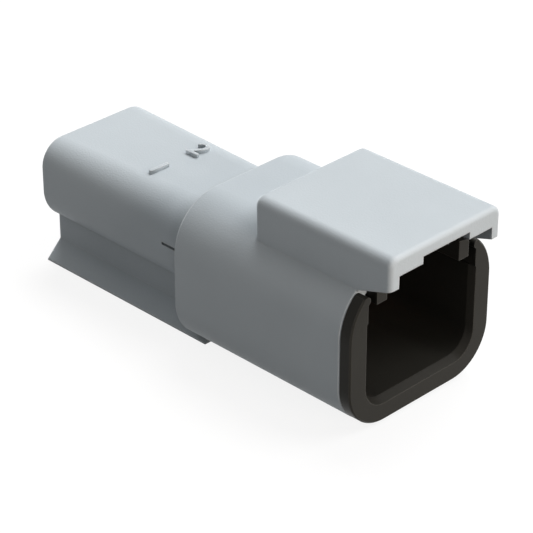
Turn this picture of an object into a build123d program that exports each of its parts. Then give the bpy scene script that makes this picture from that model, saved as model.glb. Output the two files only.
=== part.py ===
from build123d import *
import os
from math import cos, radians, sin

# A two-way sealed receptacle for a vehicle's wiring: a moulded housing with a shroud and a
# latch hood at the front, and a narrower rear body that holds the wire seal.
# Millimetres. +X is the mating direction, +Y the width and +Z up. The origin is under the
# middle of the overall length, at the foot of the mounting rail.
# A station is a distance along X from the rear end of the body.

# Housing, driving sizes
length = 38.0
foot_drop = 0.25
shroud_width = 15.3
shroud_height = 12.4
shroud_top_corner = 4.4
shroud_bottom_corner = 3.9
shroud_start = 17.5
hood_overhang = 3.1
shroud_end = length - hood_overhang
shroud_wall = 1.0
shroud_edge_bevel = 0.13
back_wall = 1.6

# Rear body
body_width = 11.54
body_bottom = 3.15
body_top = 10.5
body_top_corner = 2.1
body_top_corner_front = 3.1
body_bottom_corner = 3.2
body_wall = 1.0
body_edge_bevel = 0.1
deck_start = 8.0
deck_end = 13.0
side_slot_start = 14.15
side_slot_z = 7.05
side_slot_height = 0.24
side_slot_depth = 0.35
side_slot_depth_rear = 0.15

# Mounting rail under the rear body: a web, a flared foot and a channel for a clip
rail_length = 18.7
web_width = 8.34
web_bottom = 1.3
foot_width = 11.2
foot_edge = 0.12
channel_mouth = 5.2
channel_width = 6.8
channel_lip = 0.75
channel_height = 1.9
channel_length = 15.5
clip_stop_start = 9.0
clip_stop_length = 2.0
clip_stop_width = 2.6
clip_stop_height = 0.45

# Latch hood over the mouth
hood_length = 13.5
hood_start = length - hood_length
hood_width = 11.8
hood_top = 15.12
hood_leg = 0.9
hood_end_round = 0.38
hood_side_round = 0.75
hood_back_wall = 1.5
hood_ceiling = 13.56
hood_channel_width = 5.0
hood_channel_ceiling = 14.16
hood_leg_rear_z = 11.55
hood_leg_front_z = 12.56
latch_notch_width = 7.8
latch_notch_length = 7.9
catch_setback = 4.9
catch_length = 2.4
catch_width = 3.6
catch_drop = 0.8

# Mouth liner, a black sleeve in the shroud with a rim that caps its front edge
liner_clearance = 0.04
liner_wall = 0.84
liner_inner_corner = 1.95
liner_upper_corner = 1.2
rim_thickness = 1.02
rim_inset = 0.02
rim_edge_bevel = 0.13
lead_in_depth = 0.65
lead_in_drop = 0.35
side_lead_in = 0.17
key_ledge_z = 9.1
upper_recess = 0.06
mouth_top = 10.36
tab_top_inset = 0.3
arm_end_angle = 48.0
arm_end_radius = 0.34
arm_end_inset = 0.03
leg_relief = 2.0

# Contacts, turned pins with a crimp barrel
contact_pitch = 4.4
contact_z = 6.35
pin_diameter = 1.02
pin_length = 6.55
pin_tip_length = 1.2
pin_tip_flat = 0.45
barrel_start = 8.6
barrel_diameter = 1.8
crimp_bore = 1.15
crimp_depth = 4.4
inspection_hole = 0.6
collar_diameter = 2.4
collar_start = 15.0
collar_length = 1.2
neck_diameter = 1.5
neck_reach = 0.15
contact_clearance = 0.1

# Locking fingers of the housing
finger_width = 2.0
finger_thickness = 0.8
finger_gap = 0.15
finger_end = 17.1
finger_nib_length = 0.85
finger_nib_gap = 0.12

# Wedge lock, which slides out of the mouth
wedge_clearance = 0.2
wedge_hub_start = 17.3
wedge_plate_thickness = 1.5
wedge_plate_inset = 0.7
wedge_hole_clearance = 0.2
wedge_funnel = 0.35
wedge_blade_gap = 0.5
wedge_blade_width = 7.0
wedge_arm_thickness = 0.65
wedge_arm_gap = 0.8
wedge_barb = 0.1
wedge_barb_length = 0.9
wedge_grip_width = 3.0
wedge_grip_height = 1.2
wedge_grip_depth = 0.7

# Wire seal and the plate that keeps it in
seal_start = 1.9
seal_clearance = 0.05
seal_rib_count = 3
seal_rib_length = 1.1
seal_groove = 0.35
seal_bore = 1.5
seal_bore_funnel = 0.5
retainer_recess = 0.35
retainer_thickness = 1.4
retainer_clearance = 0.05
wire_hole = 3.1
wire_hole_funnel = 0.35

# How far an edge may lie from the plane it is picked by
plane_tolerance = 0.001


def section(station):
    """Plane across the connector, looking along it, with Y to the right and Z up."""
    return Plane(origin=(station - length / 2, 0, foot_drop), x_dir=(0, 1, 0), z_dir=(1, 0, 0))


def bar(profile, start, end):
    """A profile drawn in Y and Z, carried along X between two stations."""
    return extrude(section(start) * profile, end - start)


def block(start, end, low, high, width, y=0):
    """A plain block between two stations and two heights."""
    return bar(Pos(y, (low + high) / 2) * Rectangle(width, high - low), start, end)


def rod(diameter, start, end, y):
    """A round bar along X on a contact's axis."""
    return bar(Pos(y, contact_z) * Circle(diameter / 2), start, end)


def funnel(front, rear, start, end, y):
    """A round bar whose diameter changes evenly from one station to the other."""
    centre = Pos(y, contact_z)
    return loft([section(start) * centre * Circle(front / 2), section(end) * centre * Circle(rear / 2)])


def contact_places():
    return (-contact_pitch / 2, contact_pitch / 2)


def mirrored(shape):
    """A shape and its copy on the other side of the middle plane."""
    return shape + mirror(shape, Plane.XZ)


def rounded(width, low, high, top_corner, bottom_corner):
    """A rectangle between two heights, with one radius at the top and another at the bottom."""
    outline = Pos(0, (low + high) / 2) * Rectangle(width, high - low)
    outline = fillet(outline.vertices().group_by(Axis.Y)[-1], top_corner)
    return fillet(outline.vertices().group_by(Axis.Y)[0], bottom_corner)


def shroud_profile(inset):
    """Outline of the shroud, moved inwards."""
    return rounded(shroud_width - 2 * inset, inset, shroud_height - inset, shroud_top_corner - inset,
                   shroud_bottom_corner - inset)


def body_profile(inset, top_corner=body_top_corner):
    """Outline of the rear body, moved inwards. Its lower corners are the larger ones."""
    return rounded(body_width - 2 * inset, body_bottom + inset, body_top - inset, top_corner - inset,
                   body_bottom_corner - inset)


def end_edges(shape, station):
    """Edges that lie in the plane across the connector at a station."""
    x = station - length / 2
    return shape.edges().filter_by_position(Axis.X, x - plane_tolerance, x + plane_tolerance)


def shroud_block():
    shell = bar(shroud_profile(0), shroud_start, shroud_end)
    return chamfer(end_edges(shell, shroud_start) + end_edges(shell, shroud_end), shroud_edge_bevel)


def rear_body():
    """The rear body. Its upper corners are rounder towards the shroud."""
    front = section(shroud_start + back_wall / 2) * body_profile(0, body_top_corner_front)
    body = loft([section(0) * body_profile(0), front], ruled=True)
    return chamfer(end_edges(body, 0), body_edge_bevel)


def side_slot():
    """A narrow groove in each side of the rear body. It is deepest where it meets the shroud."""
    side = body_width / 2
    start, end = side_slot_start - length / 2, shroud_start - length / 2
    plan = Polygon(
        (start, side), (start, side - side_slot_depth_rear), (end, side - side_slot_depth), (end, side),
        align=None)
    low = foot_drop + side_slot_z - side_slot_height / 2
    return mirrored(extrude(Plane.XY.offset(low) * plan, side_slot_height))


def rail():
    """Web and flared foot, with the clip channel along its underside."""
    web = block(0, rail_length, web_bottom, (body_bottom + body_top) / 2, web_width)
    low = -foot_drop
    slope = (foot_width - web_width) / 2
    foot = Polygon(
        (-web_width / 2, web_bottom), (-web_width / 2 - slope, low + foot_edge),
        (-web_width / 2 - slope, low), (foot_width / 2, low), (foot_width / 2, low + foot_edge),
        (web_width / 2, web_bottom), align=None)
    channel = block(0, channel_length, low, low + channel_lip, channel_mouth)
    channel += block(0, channel_length, low + channel_lip, low + channel_height, channel_width)
    return web + bar(foot, 0, rail_length) - channel + clip_stop()


def clip_stop():
    """A ramp on the roof of the channel, which a mounting clip snaps over."""
    roof = channel_height - foot_drop
    start = clip_stop_start - length / 2
    ramp = Polygon(
        (start, roof), (start + clip_stop_length, roof), (start + clip_stop_length, roof - clip_stop_height),
        align=None)
    plane = Plane(origin=(0, 0, foot_drop), x_dir=(1, 0, 0), z_dir=(0, -1, 0))
    return extrude(plane * ramp, clip_stop_width / 2, both=True)


def latch_hood():
    """The raised cover over the latch, before its inside is cut."""
    foot = shroud_height - shroud_top_corner
    outline = Pos(0, (foot + hood_top) / 2) * Rectangle(hood_width, hood_top - foot)
    outline = fillet(outline.vertices().group_by(Axis.Y)[-1], hood_side_round)
    cover = bar(outline, hood_start, length)
    above_foot = cover.edges().filter_by_position(
        Axis.Z, foot_drop + foot + plane_tolerance, foot_drop + hood_top + plane_tolerance)
    ends = end_edges(cover, hood_start) + end_edges(cover, length)
    return fillet([edge for edge in ends if edge in above_foot], hood_end_round)


def hood_inside():
    """The latch pocket, the notch below it and the sloping underside of the legs."""
    inner = hood_width - 2 * hood_leg
    pocket_start = hood_start + hood_back_wall
    notch_start = shroud_end - latch_notch_length
    pocket = block(pocket_start, length, shroud_height, hood_ceiling, inner)
    pocket += block(pocket_start, length, shroud_height, hood_channel_ceiling, hood_channel_width)
    pocket += block(shroud_end, length, 0, hood_ceiling, inner)
    pocket += block(notch_start, shroud_end, contact_z, hood_ceiling, latch_notch_width)
    front, rear = length / 2, shroud_end - length / 2
    under = Polygon(
        (rear, 0), (front, 0), (front, hood_leg_front_z), (rear, hood_leg_rear_z), align=None)
    plane = Plane(origin=(0, 0, foot_drop), x_dir=(1, 0, 0), z_dir=(0, -1, 0))
    return pocket + extrude(plane * under, hood_width, both=True)


def latch_catch():
    """The ramp on the ceiling of the hood that holds the plug's latch."""
    rear = shroud_end - catch_setback - length / 2
    front = rear + catch_length
    ramp = Polygon(
        (rear, hood_channel_ceiling), (rear, hood_channel_ceiling - catch_drop),
        (front - catch_length / 2, hood_channel_ceiling - catch_drop), (front, hood_channel_ceiling),
        align=None)
    plane = Plane(origin=(0, 0, foot_drop), x_dir=(1, 0, 0), z_dir=(0, -1, 0))
    return extrude(plane * ramp, catch_width / 2, both=True)


def fingers():
    """One springy finger over each contact, with a nib behind its collar and a lip before it."""
    collar_top = contact_z + collar_diameter / 2
    low = collar_top + finger_gap
    collar_end = collar_start + collar_length
    result = Part()
    for y in contact_places():
        result += block(deck_end, finger_end, low, low + finger_thickness, finger_width, y)
        nib_low = contact_z + barrel_diameter / 2 + finger_nib_gap
        nib_end = collar_start - contact_clearance
        result += block(nib_end - finger_nib_length, nib_end, nib_low, low, finger_width, y)
        lip_low = contact_z + neck_diameter / 2 + finger_nib_gap
        result += block(collar_end + contact_clearance, finger_end, lip_low, low, finger_width, y)
    return result


def contact_bores():
    result = Part()
    for y in contact_places():
        result += rod(collar_diameter + 2 * contact_clearance, deck_start, deck_end, y)
    return result


def housing():
    shell = shroud_block() + rear_body() + rail() + latch_hood()
    shell -= hood_inside()
    shell -= bar(shroud_profile(shroud_wall), shroud_start + back_wall, shroud_end)
    shell -= bar(body_profile(body_wall), 0, deck_start)
    shell -= bar(body_profile(body_wall), deck_end, shroud_start + back_wall)
    shell -= contact_bores()
    shell -= side_slot()
    return shell + latch_catch() + fingers()


def liner_floor():
    """Height of the floor of the mouth."""
    return shroud_wall + liner_clearance + liner_wall


def liner_inner_width():
    return shroud_width - 2 * liner_floor()


def liner_inside():
    """The room for the plug: a lower part between thick side walls, and a wider part above a ledge."""
    floor = liner_floor()
    width = liner_inner_width()
    lower = Pos(0, (floor + key_ledge_z) / 2) * Rectangle(width, key_ledge_z - floor)
    lower = fillet(lower.vertices().group_by(Axis.Y)[0], liner_inner_corner)
    upper = Rectangle(width + 2 * upper_recess, mouth_top - key_ledge_z)
    return lower, Pos(0, (key_ledge_z + mouth_top) / 2) * upper


def rim():
    """The rim that caps the shroud's front edge. It ends in a round-nosed arm beside each hood leg."""
    rim_end = shroud_end + rim_thickness
    corner_y = shroud_width / 2 - shroud_top_corner
    corner_z = shroud_height - shroud_top_corner
    across, up = cos(radians(arm_end_angle)), sin(radians(arm_end_angle))
    far_y, far_z = corner_y + shroud_height * across, corner_z + shroud_height * up
    gap = Polygon(
        (-far_y, far_z), (-corner_y, corner_z), (corner_y, corner_z), (far_y, far_z), align=None)
    reach = shroud_top_corner - rim_inset - arm_end_radius - arm_end_inset
    nose = Circle(arm_end_radius)
    noses = Pos(corner_y + reach * across, corner_z + reach * up) * nose
    noses += Pos(-corner_y - reach * across, corner_z + reach * up) * nose
    plate = bar(shroud_profile(rim_inset) - gap, shroud_end, rim_end)
    plate = chamfer(end_edges(plate, rim_end), rim_edge_bevel)
    lower = liner_inside()[0]
    between_arms = Pos(0, (key_ledge_z + shroud_height) / 2) * Rectangle(
        liner_inner_width() + 2 * upper_recess, shroud_height - key_ledge_z)
    plate -= bar(lower + between_arms, shroud_end, rim_end)
    return plate + bar(noses, shroud_end, rim_end)


def tabs():
    """The two tabs of the liner that stand beside the latch notch, inside the hood's legs."""
    rim_end = shroud_end + rim_thickness
    inner = latch_notch_width / 2
    outer = hood_width / 2 - hood_leg - liner_clearance
    tab = block(shroud_end, rim_end, mouth_top, shroud_height, outer - inner, (outer + inner) / 2)
    return mirrored(tab) & bar(shroud_profile(tab_top_inset), shroud_end, rim_end)


def mouth_liner():
    rim_end = shroud_end + rim_thickness
    sleeve_start = shroud_start + back_wall + liner_clearance
    sleeve = bar(shroud_profile(shroud_wall + liner_clearance), sleeve_start, shroud_end)
    lower, upper = liner_inside()
    hollow = fillet(upper.vertices().group_by(Axis.Y)[-1], liner_upper_corner)
    sleeve -= bar(lower + hollow, sleeve_start, shroud_end)
    inner = hood_width / 2 - hood_leg - liner_clearance
    relief = block(shroud_end - leg_relief, shroud_end, mouth_top, shroud_height, hood_leg + shroud_wall,
                   inner + (hood_leg + shroud_wall) / 2)
    sleeve -= mirrored(relief)
    liner = sleeve + rim() + tabs() - mouth_lead_in(rim_end)
    notch_start = shroud_end - latch_notch_length
    return liner - block(notch_start, rim_end, contact_z, shroud_height, latch_notch_width)


def mouth_lead_in(rim_end):
    """The bevel round the lower part of the mouth that guides the plug in."""
    floor = liner_floor()
    width = liner_inner_width()
    wide = Pos(0, (floor + key_ledge_z - lead_in_drop) / 2) * Rectangle(
        width + 2 * side_lead_in, key_ledge_z - floor + lead_in_drop)
    wide = fillet(wide.vertices().group_by(Axis.Y)[0], liner_inner_corner + side_lead_in)
    narrow = Pos(0, (floor + key_ledge_z) / 2) * Rectangle(width, key_ledge_z - floor)
    narrow = fillet(narrow.vertices().group_by(Axis.Y)[0], liner_inner_corner)
    return loft([section(rim_end - lead_in_depth) * narrow, section(rim_end) * wide])


def wedge_plate_end():
    """Station of the wedge lock's front face when it is home."""
    return shroud_start + back_wall + wedge_clearance + wedge_plate_thickness


def pin_contact(y):
    """A turned contact: crimp barrel, collar, a neck through the wedge lock and a pin with a tapered tip."""
    collar_end = collar_start + collar_length
    neck_end = wedge_plate_end() + neck_reach
    tip_end = neck_end + pin_length
    tip_start = tip_end - pin_tip_length
    contact = rod(barrel_diameter, barrel_start, collar_start, y)
    contact += rod(collar_diameter, collar_start, collar_end, y)
    contact += rod(neck_diameter, collar_end, neck_end, y)
    contact += rod(pin_diameter, neck_end, tip_start, y)
    contact += funnel(pin_diameter, pin_tip_flat, tip_start, tip_end, y)
    contact -= rod(crimp_bore, barrel_start, barrel_start + crimp_depth, y)
    hole = Cylinder(inspection_hole / 2, barrel_diameter)
    hole_x = barrel_start + crimp_depth - inspection_hole - length / 2
    return contact - Pos(hole_x, y, foot_drop + contact_z + barrel_diameter / 2) * hole


def wedge_lock():
    """The lock that fills the room above and beside the fingers, so that they can't lift."""
    plate_end = wedge_plate_end()
    plate_start = plate_end - wedge_plate_thickness
    fit = body_wall + wedge_clearance
    lock = bar(body_profile(fit), wedge_hub_start, plate_start)
    plate = bar(body_profile(wedge_plate_inset), plate_start, plate_end)
    lock += chamfer(end_edges(plate, plate_end), wedge_funnel)
    finger_top = contact_z + collar_diameter / 2 + finger_gap + finger_thickness
    lock += block(deck_end + wedge_blade_gap, wedge_hub_start, finger_top + wedge_clearance, body_top - fit,
                  wedge_blade_width)
    outer = body_width / 2 - fit
    low, high = body_bottom + body_bottom_corner, body_top - body_top_corner
    arm_start = deck_end + wedge_arm_gap
    arm = block(arm_start, wedge_hub_start, low, high, wedge_arm_thickness, outer - wedge_arm_thickness / 2)
    barb = block(arm_start, arm_start + wedge_barb_length, low, high, 2 * wedge_barb, outer)
    lock += mirrored(arm + barb)
    hole = neck_diameter + 2 * wedge_hole_clearance
    for y in contact_places():
        lock -= rod(hole, wedge_hub_start, plate_end, y)
        lock -= funnel(hole, hole + 2 * wedge_funnel, plate_end - wedge_funnel, plate_end, y)
    grip_z = body_top - wedge_plate_inset - wedge_grip_height
    return lock - block(plate_end - wedge_grip_depth, plate_end, grip_z - wedge_grip_height / 2,
                        grip_z + wedge_grip_height / 2, wedge_grip_width)


def wire_seal():
    """A soft block with ribs round the outside and a funnelled hole for each wire."""
    seal_length = deck_start - seal_start
    seal = bar(body_profile(body_wall + seal_groove), seal_start, deck_start)
    pitch = (seal_length - seal_rib_length) / (seal_rib_count - 1)
    for index in range(seal_rib_count):
        rib_start = seal_start + index * pitch
        seal += bar(body_profile(body_wall + seal_clearance), rib_start, rib_start + seal_rib_length)
    for y in contact_places():
        seal -= rod(seal_bore, seal_start, deck_start, y)
        seal -= funnel(seal_bore + 2 * seal_bore_funnel, seal_bore, seal_start,
                       seal_start + seal_bore_funnel, y)
    return seal


def seal_retainer():
    """The plate at the rear that keeps the wire seal in its pocket."""
    end = retainer_recess + retainer_thickness
    plate = bar(body_profile(body_wall + retainer_clearance), retainer_recess, end)
    for y in contact_places():
        plate -= rod(wire_hole, retainer_recess, end, y)
        plate -= funnel(wire_hole + 2 * wire_hole_funnel, wire_hole, retainer_recess,
                        retainer_recess + wire_hole_funnel, y)
    return plate


nodes = {
    "housing": housing(),
    "mouth_liner": mouth_liner(),
    "wedge_lock": wedge_lock(),
    "wire_seal": wire_seal(),
    "seal_retainer": seal_retainer(),
}
for number, place in enumerate(contact_places(), start=1):
    nodes[f"pin_contact_{number}"] = pin_contact(place)

os.makedirs("parts", exist_ok=True)
for name, solid in nodes.items():
    export_step(solid, f"parts/{name}.step")
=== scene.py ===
from math import radians, tau

import bpy
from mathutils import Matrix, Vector


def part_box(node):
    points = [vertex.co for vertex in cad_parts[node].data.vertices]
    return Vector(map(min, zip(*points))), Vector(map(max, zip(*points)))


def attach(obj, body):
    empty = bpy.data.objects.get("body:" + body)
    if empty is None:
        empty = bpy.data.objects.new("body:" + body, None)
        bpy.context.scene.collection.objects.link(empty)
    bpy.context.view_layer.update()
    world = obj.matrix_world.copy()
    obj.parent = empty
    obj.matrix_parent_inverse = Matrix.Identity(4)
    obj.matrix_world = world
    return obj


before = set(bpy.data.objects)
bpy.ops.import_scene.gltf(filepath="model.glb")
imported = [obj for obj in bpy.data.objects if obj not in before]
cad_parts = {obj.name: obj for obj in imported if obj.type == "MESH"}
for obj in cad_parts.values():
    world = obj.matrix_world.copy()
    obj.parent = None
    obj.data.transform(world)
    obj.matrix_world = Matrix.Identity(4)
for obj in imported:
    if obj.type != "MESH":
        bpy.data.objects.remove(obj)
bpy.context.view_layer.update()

# Lengths are in mm and turned to metres with MM, unless a comment says metres. Angles are in degrees
MM = 0.001

# The camera stands where the photograph's perspective puts it. The far clip is in metres
PHOTO_SIZE = 533
SENSOR = 36.0
CAMERA_PLACE = Vector((115.29, -114.45, 98.62)) * MM
CAMERA_ELEVATION = 30.0
CAMERA_AZIMUTH = 45.0
FOCAL_PIXELS = 2405.8
NEAR_CLIP = 1
FAR_CLIP = 100.0

# Raised circuit numbers on top of the rear body, one over each contact: their height, how far they stand
# above the top and sink into it, their rounded edge, the weight added to the strokes, and their place.
# A numeral takes up CAPITAL_SHARE of the font's size
NUMBER_HEIGHT = 2.0
NUMBER_STAND = 0.3
NUMBER_SINK = 0.03
NUMBER_EDGE = 0.012
NUMBER_EDGE_STEPS = 2
NUMBER_WEIGHT = 0.01
NUMBER_FROM_REAR = 10.0
CAPITAL_SHARE = 0.73

# Colours of the finishes, as seen under plain light
WHITE = "#FFFFFF"
WARM_WHITE = "#FFF3E8"
GREY_NYLON = "#BDC5CA"
GREY_NYLON_DEEP = "#B4BCC1"
BLACK_NYLON = "#32312D"
BLACK_NYLON_DEEP = "#2A2926"
# Painted highlight colour for the black nylon's outer edges
BLACK_NYLON_EDGE_HIGHLIGHT = "#6A6964"
ORANGE_NYLON = "#D9701E"
ORANGE_NYLON_DEEP = "#C5611A"
SILICONE = "#B5563A"
SILICONE_DEEP = "#A24A32"
NICKEL = "#CFC9BC"
NICKEL_DEEP = "#B9B2A4"

# The sky's light as a share of white. The floor's size is in metres, its glow a share of white
AMBIENT = 0.2
FLOOR_SIZE = 4.0
FLOOR_GREY = "#747474"
FLOOR_GLOW = 0.86

# Softboxes: strength in W/m2, spread, the direction they shine along, colour.
# The one at the back is nearly level and only catches rear edges
SOFTBOXES = {
    "softbox_overhead": (1.9, 36.0, (0.2, -0.48, -0.85), WHITE),
    "softbox_corner": (1.28, 36.0, (-0.48, -0.5, -0.72), WHITE),
    "softbox_front": (2.07, 30.0, (-0.98, 0.0, -0.18), WARM_WHITE),
    "softbox_back": (2.4, 10.0, (0.95, -0.12, -0.03), WHITE),
    "softbox_side": (0.09, 60.0, (0.05, 0.92, -0.39), WHITE),
}

# What every nylon moulding shares: the flow cloud, the spark-eroded grain, how far the grain swings
# the roughness, and the samples that find edges and recesses
NYLON_IOR = 1.53
CLOUD_WIDTH = 6.0
CLOUD_DETAIL = 3.0
CLOUD_ROUGHNESS = 0.55
GRAIN_DETAIL = 2.0
GRAIN_STRENGTH = 0.35
ROUGHNESS_SWING = 0.05
EDGE_SAMPLES = 4

# Outer edges get a painted highlight, a lighter colour laid along them: how strong it is, the cosine of the
# turn at which an edge is fully highlighted, and the open share of its surroundings from which an edge
# counts as an outer one
EDGE_HIGHLIGHT = 0.6
EDGE_TURN = 0.8
OUTER_FROM = 0.75

# Painted shade in recesses and inner corners, a darker colour laid where they are closed in: what it does
# to the colour under it, its reach, its share, and the open share of the surroundings up to which it lies
# thickest
PAINTED_SHADE = "#6A6A6A"
PAINTED_SHADE_REACH = 3.0
CORNER_SHADE_SHARE = 0.6
SHADE_FULL_TO = 0.5

# Each moulding's own finish. Grain width, grain height and edge rounding are real sizes. The edge colour is
# a painted highlight
HOUSING_FINISH = {
    "light": GREY_NYLON, "deep": GREY_NYLON_DEEP, "highlight_colour": WHITE, "roughness": 0.55, "specular": 0.3,
    "grain_width": 0.14, "grain_height": 0.042, "edge_radius": 0.2}
LINER_FINISH = {
    "light": BLACK_NYLON, "deep": BLACK_NYLON_DEEP, "highlight_colour": BLACK_NYLON_EDGE_HIGHLIGHT, "roughness": 0.36,
    "specular": 0.065, "grain_width": 0.15, "grain_height": 0.008, "edge_radius": 0.1}
WEDGE_FINISH = {
    "light": ORANGE_NYLON, "deep": ORANGE_NYLON_DEEP, "highlight_colour": ORANGE_NYLON, "roughness": 0.45,
    "specular": 0.3, "grain_width": 0.15, "grain_height": 0.008, "edge_radius": 0.1}
RETAINER_FINISH = {
    "light": GREY_NYLON_DEEP, "deep": GREY_NYLON, "highlight_colour": WHITE, "roughness": 0.5, "specular": 0.3,
    "grain_width": 0.12, "grain_height": 0.012, "edge_radius": 0.1}

# Silicone of the wire seal
SILICONE_IOR = 1.41
SILICONE_ROUGHNESS = 0.5
SILICONE_CLOUD = 2.0
SILICONE_DETAIL = 4.0
SILICONE_BUMP = 0.2
SILICONE_BUMP_HEIGHT = 0.02
SILICONE_SCATTER = 0.1
SILICONE_SCATTER_DEPTH = 0.3

# Nickel over turned pins. WAVE_RADIANS is how far Blender's wave node turns over one unit of its scale
NICKEL_ROUGHNESS = 0.26
NICKEL_CLOUD = 1.5
RING_SPACING = 0.23686
RING_DISTORTION = 0.4
RING_BUMP = 0.15
RING_HEIGHT = 0.01
WAVE_RADIANS = 20.0


def linear(code):
    """An sRGB hex colour as linear RGBA."""
    channels = [int(code[place:place + 2], 16) / 255 for place in (1, 3, 5)]
    return [c / 12.92 if c <= 0.04045 else ((c + 0.055) / 1.055) ** 2.4 for c in channels] + [1.0]


def add_node(tree, kind, inputs=None, **settings):
    """Adds one node. inputs maps a socket to a value or to the output that feeds it."""
    node = tree.nodes.new(kind)
    for name, value in settings.items():
        setattr(node, name, value)
    for socket, value in (inputs or {}).items():
        if isinstance(value, bpy.types.NodeSocket):
            tree.links.new(value, node.inputs[socket])
        else:
            node.inputs[socket].default_value = value
    return node


def noise(tree, place, width, **inputs):
    """Noise whose cells are about this wide."""
    return add_node(tree, "ShaderNodeTexNoise",
                    {"Vector": place, "Scale": 1 / (width * MM), **inputs}).outputs["Fac"]


def blend(tree, factor, low, high, **settings):
    """A colour between two, by a factor."""
    return add_node(tree, "ShaderNodeMix", {"Factor": factor, "A": low, "B": high},
                    data_type="RGBA", **settings).outputs["Result"]


def remap(tree, value, low, high, start=0.0):
    """Turns a value between start and 1 into one between low and high."""
    return add_node(tree, "ShaderNodeMapRange", {"Value": value, "From Min": start,
                                                 "To Min": low, "To Max": high}).outputs["Result"]


def combine(tree, operation, first, second):
    """One value made from two."""
    return add_node(tree, "ShaderNodeMath", {0: first, 1: second}, operation=operation).outputs["Value"]


def bump(tree, pattern, strength, height, **inputs):
    """A relief of this height, as a normal."""
    return add_node(tree, "ShaderNodeBump", {"Height": pattern, "Strength": strength,
                                             "Distance": height * MM, **inputs}).outputs["Normal"]


def new_material(name):
    """An empty material and its node tree."""
    material = bpy.data.materials.new(name)
    material.use_nodes = True
    material.node_tree.nodes.clear()
    return material, material.node_tree


def own_place(tree):
    """Where a point lies on its own piece, so that patterns move along with it."""
    return add_node(tree, "ShaderNodeTexCoord").outputs["Object"]


def principled(tree, inputs):
    """Ends a material with one surface."""
    shader = add_node(tree, "ShaderNodeBsdfPrincipled", inputs)
    add_node(tree, "ShaderNodeOutputMaterial", {"Surface": shader.outputs["BSDF"]})


def paint_edge_highlight_and_shade(tree, colour, edge_normal, highlight_colour):
    """Paints highlights on the outer edges of a colour and paints shade into its recesses."""
    true_normal = add_node(tree, "ShaderNodeNewGeometry").outputs["Normal"]
    same = add_node(tree, "ShaderNodeVectorMath", {0: edge_normal, 1: true_normal},
                    operation="DOT_PRODUCT").outputs["Value"]
    openness = add_node(tree, "ShaderNodeAmbientOcclusion", {"Distance": PAINTED_SHADE_REACH * MM},
                        samples=EDGE_SAMPLES, only_local=True).outputs["AO"]
    # Painted highlight: outer edges are lightened towards the edge colour
    edges = remap(tree, same, EDGE_HIGHLIGHT, 0.0, EDGE_TURN)
    outer = remap(tree, openness, 0.0, 1.0, OUTER_FROM)
    highlit = blend(tree, combine(tree, "MULTIPLY", edges, outer), colour, linear(highlight_colour))
    # Painted shade: recesses and inner corners are darkened by how closed in they are
    shade_mask = remap(tree, openness, CORNER_SHADE_SHARE, 0.0, SHADE_FULL_TO)
    return blend(tree, shade_mask, highlit, linear(PAINTED_SHADE), blend_type="MULTIPLY")


def moulded_plastic(name, light, deep, highlight_colour, roughness, specular, grain_width, grain_height, edge_radius):
    """Injection moulded nylon. The eye sees a faint flow cloud in the colour, a fine spark-eroded grain
    that breaks up the sheen, softened edges with a painted highlight, and painted shade in the recesses."""
    material, tree = new_material(name)
    place = own_place(tree)
    cloud = noise(tree, place, CLOUD_WIDTH, Detail=CLOUD_DETAIL, Roughness=CLOUD_ROUGHNESS)
    colour = blend(tree, cloud, linear(light), linear(deep))
    edge_normal = add_node(tree, "ShaderNodeBevel", {"Radius": edge_radius * MM},
                           samples=EDGE_SAMPLES).outputs["Normal"]
    grain = noise(tree, place, grain_width, Detail=GRAIN_DETAIL)
    principled(tree, {
        "Base Color": paint_edge_highlight_and_shade(tree, colour, edge_normal, highlight_colour),
        "Roughness": remap(tree, grain, roughness - ROUGHNESS_SWING, roughness + ROUGHNESS_SWING),
        "Normal": bump(tree, grain, GRAIN_STRENGTH, grain_height, Normal=edge_normal),
        "IOR": NYLON_IOR, "Specular IOR Level": specular})
    return material


def silicone_rubber():
    """Moulded silicone. The eye sees a soft, slightly waxy body with a dry, uneven surface."""
    material, tree = new_material("moulded_silicone_rubber")
    place = own_place(tree)
    cloud = noise(tree, place, SILICONE_CLOUD, Detail=SILICONE_DETAIL)
    principled(tree, {
        "Base Color": blend(tree, cloud, linear(SILICONE), linear(SILICONE_DEEP)),
        "Roughness": SILICONE_ROUGHNESS,
        "Normal": bump(tree, cloud, SILICONE_BUMP, SILICONE_BUMP_HEIGHT),
        "IOR": SILICONE_IOR, "Subsurface Weight": SILICONE_SCATTER,
        "Subsurface Scale": SILICONE_SCATTER_DEPTH * MM})
    return material


def nickel_plate():
    """Nickel over a turned copper alloy pin. The eye sees fine rings from the lathe round the axis, and
    a plating that is a little uneven in colour."""
    material, tree = new_material("nickel_plated_turned_copper")
    place = own_place(tree)
    rings = add_node(tree, "ShaderNodeTexWave",
                     {"Vector": place, "Scale": tau / (WAVE_RADIANS * RING_SPACING * MM),
                      "Distortion": RING_DISTORTION}, bands_direction="X").outputs["Fac"]
    cloud = noise(tree, place, NICKEL_CLOUD)
    principled(tree, {
        "Base Color": blend(tree, cloud, linear(NICKEL), linear(NICKEL_DEEP)),
        "Metallic": 1.0, "Roughness": NICKEL_ROUGHNESS,
        "Normal": bump(tree, rings, RING_BUMP, RING_HEIGHT)})
    return material


def camera():
    """The photograph's camera."""
    data = bpy.data.cameras.new("photo_camera")
    data.sensor_width = SENSOR
    data.lens = FOCAL_PIXELS / PHOTO_SIZE * SENSOR
    data.clip_start = NEAR_CLIP * MM
    data.clip_end = FAR_CLIP
    view = bpy.data.objects.new("photo_camera", data)
    view.location = CAMERA_PLACE
    view.rotation_euler = (radians(90 - CAMERA_ELEVATION), 0, radians(CAMERA_AZIMUTH))
    bpy.context.collection.objects.link(view)
    bpy.context.scene.camera = view


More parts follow.
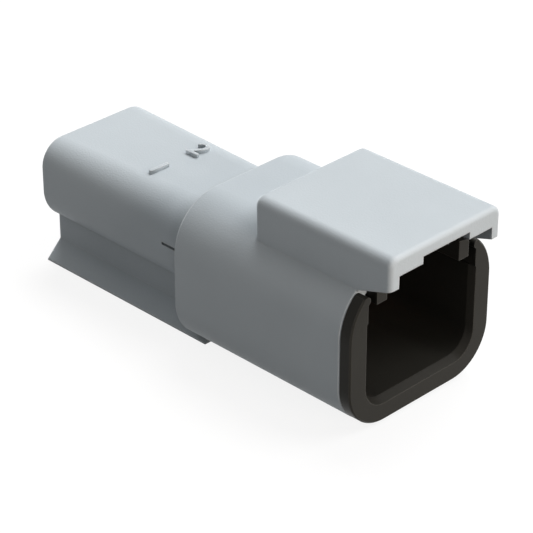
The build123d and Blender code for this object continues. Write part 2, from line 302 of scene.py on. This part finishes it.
def softbox(name, strength, spread, direction, colour):
    """A broad lamp that shines along a direction."""
    data = bpy.data.lights.new(name, "SUN")
    data.energy = strength
    data.color = linear(colour)[:3]
    data.angle = radians(spread)
    lamp = bpy.data.objects.new(name, data)
    lamp.rotation_euler = Vector(direction).to_track_quat("-Z", "Y").to_euler()
    bpy.context.collection.objects.link(lamp)


def seen_white(tree):
    """1 on rays that look straight at the floor or sky, in mirrors or through glass, 0 on light rays."""
    path = add_node(tree, "ShaderNodeLightPath").outputs
    either = combine(tree, "MAXIMUM", path["Is Camera Ray"], path["Is Glossy Ray"])
    return combine(tree, "MAXIMUM", either, path["Is Transmission Ray"])


def sky():
    """White to look at, but only a faint light from all around."""
    world = bpy.data.worlds.new("soft_white_sky")
    bpy.context.scene.world = world
    world.use_nodes = True
    tree = world.node_tree
    tree.nodes.clear()
    level = remap(tree, seen_white(tree), AMBIENT, 1.0)
    back = add_node(tree, "ShaderNodeBackground", {"Color": linear(WHITE), "Strength": level})
    add_node(tree, "ShaderNodeOutputWorld", {"Surface": back.outputs["Background"]})


def floor():
    """A matt floor that holds the object's shadow and glows to white where it is looked at."""
    bpy.ops.mesh.primitive_plane_add(size=FLOOR_SIZE, location=(0, 0, 0))
    ground = bpy.context.object
    ground.name = "floor"
    material, tree = new_material("pale_floor")
    matt = add_node(tree, "ShaderNodeBsdfDiffuse", {"Color": linear(FLOOR_GREY)})
    glow = add_node(tree, "ShaderNodeEmission", {"Color": linear(WHITE), "Strength": FLOOR_GLOW})
    dark = add_node(tree, "ShaderNodeEmission", {"Color": linear(WHITE), "Strength": 0.0})
    shown = add_node(tree, "ShaderNodeMixShader", {0: seen_white(tree), 1: dark.outputs["Emission"],
                                                   2: glow.outputs["Emission"]})
    both = add_node(tree, "ShaderNodeAddShader", {0: matt.outputs["BSDF"], 1: shown.outputs["Shader"]})
    add_node(tree, "ShaderNodeOutputMaterial", {"Surface": both.outputs["Shader"]})
    ground.data.materials.append(material)


def rear_deck_height():
    """Height of the rear body's flat top, read from the housing near its rear end."""
    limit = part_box("housing")[0][0] + NUMBER_FROM_REAR * MM
    return max(vertex.co.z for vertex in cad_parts["housing"].data.vertices if vertex.co.x < limit)


def circuit_number(text, node, material):
    """A raised number that stands on the rear body's top, over the middle of a contact."""
    low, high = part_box(node)
    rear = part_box("housing")[0][0]
    data = bpy.data.curves.new("circuit_number_" + text, "FONT")
    data.body = text
    data.align_x = "CENTER"
    data.align_y = "CENTER"
    data.size = NUMBER_HEIGHT * MM / CAPITAL_SHARE
    data.extrude = (NUMBER_STAND + NUMBER_SINK) / 2 * MM
    data.offset = NUMBER_WEIGHT * MM
    data.bevel_depth = NUMBER_EDGE * MM
    data.bevel_resolution = NUMBER_EDGE_STEPS
    number = bpy.data.objects.new("circuit_number_" + text, data)
    bpy.context.collection.objects.link(number)
    bpy.ops.object.select_all(action="DESELECT")
    number.select_set(True)
    bpy.context.view_layer.objects.active = number
    bpy.ops.object.convert(target="MESH")
    middle = rear_deck_height() + (NUMBER_STAND - NUMBER_SINK) / 2 * MM
    number.location = (rear + NUMBER_FROM_REAR * MM, (low[1] + high[1]) / 2, middle)
    bpy.ops.object.transform_apply(location=True, rotation=False, scale=False)
    number.data.materials.clear()
    number.data.materials.append(material)
    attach(number, "receptacle")


def dress(material, *nodes):
    """Gives CAD nodes their finish."""
    for node in nodes:
        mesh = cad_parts[node].data
        mesh.materials.clear()
        mesh.materials.append(material)


def finishes():
    """Dresses every piece, and adds the two circuit numbers in the housing's own plastic."""
    grey = moulded_plastic("moulded_grey_nylon", **HOUSING_FINISH)
    dress(grey, "housing")
    for text in ("1", "2"):
        circuit_number(text, "pin_contact_" + text, grey)
    dress(moulded_plastic("moulded_black_nylon", **LINER_FINISH), "mouth_liner")
    dress(moulded_plastic("moulded_orange_nylon", **WEDGE_FINISH), "wedge_lock")
    dress(moulded_plastic("moulded_grey_nylon_plate", **RETAINER_FINISH), "seal_retainer")
    dress(silicone_rubber(), "wire_seal")
    dress(nickel_plate(), "pin_contact_1", "pin_contact_2")


camera()
sky()
floor()
for name, settings in SOFTBOXES.items():
    softbox(name, *settings)
finishes()

bpy.context.scene.view_settings.view_transform = "Standard"
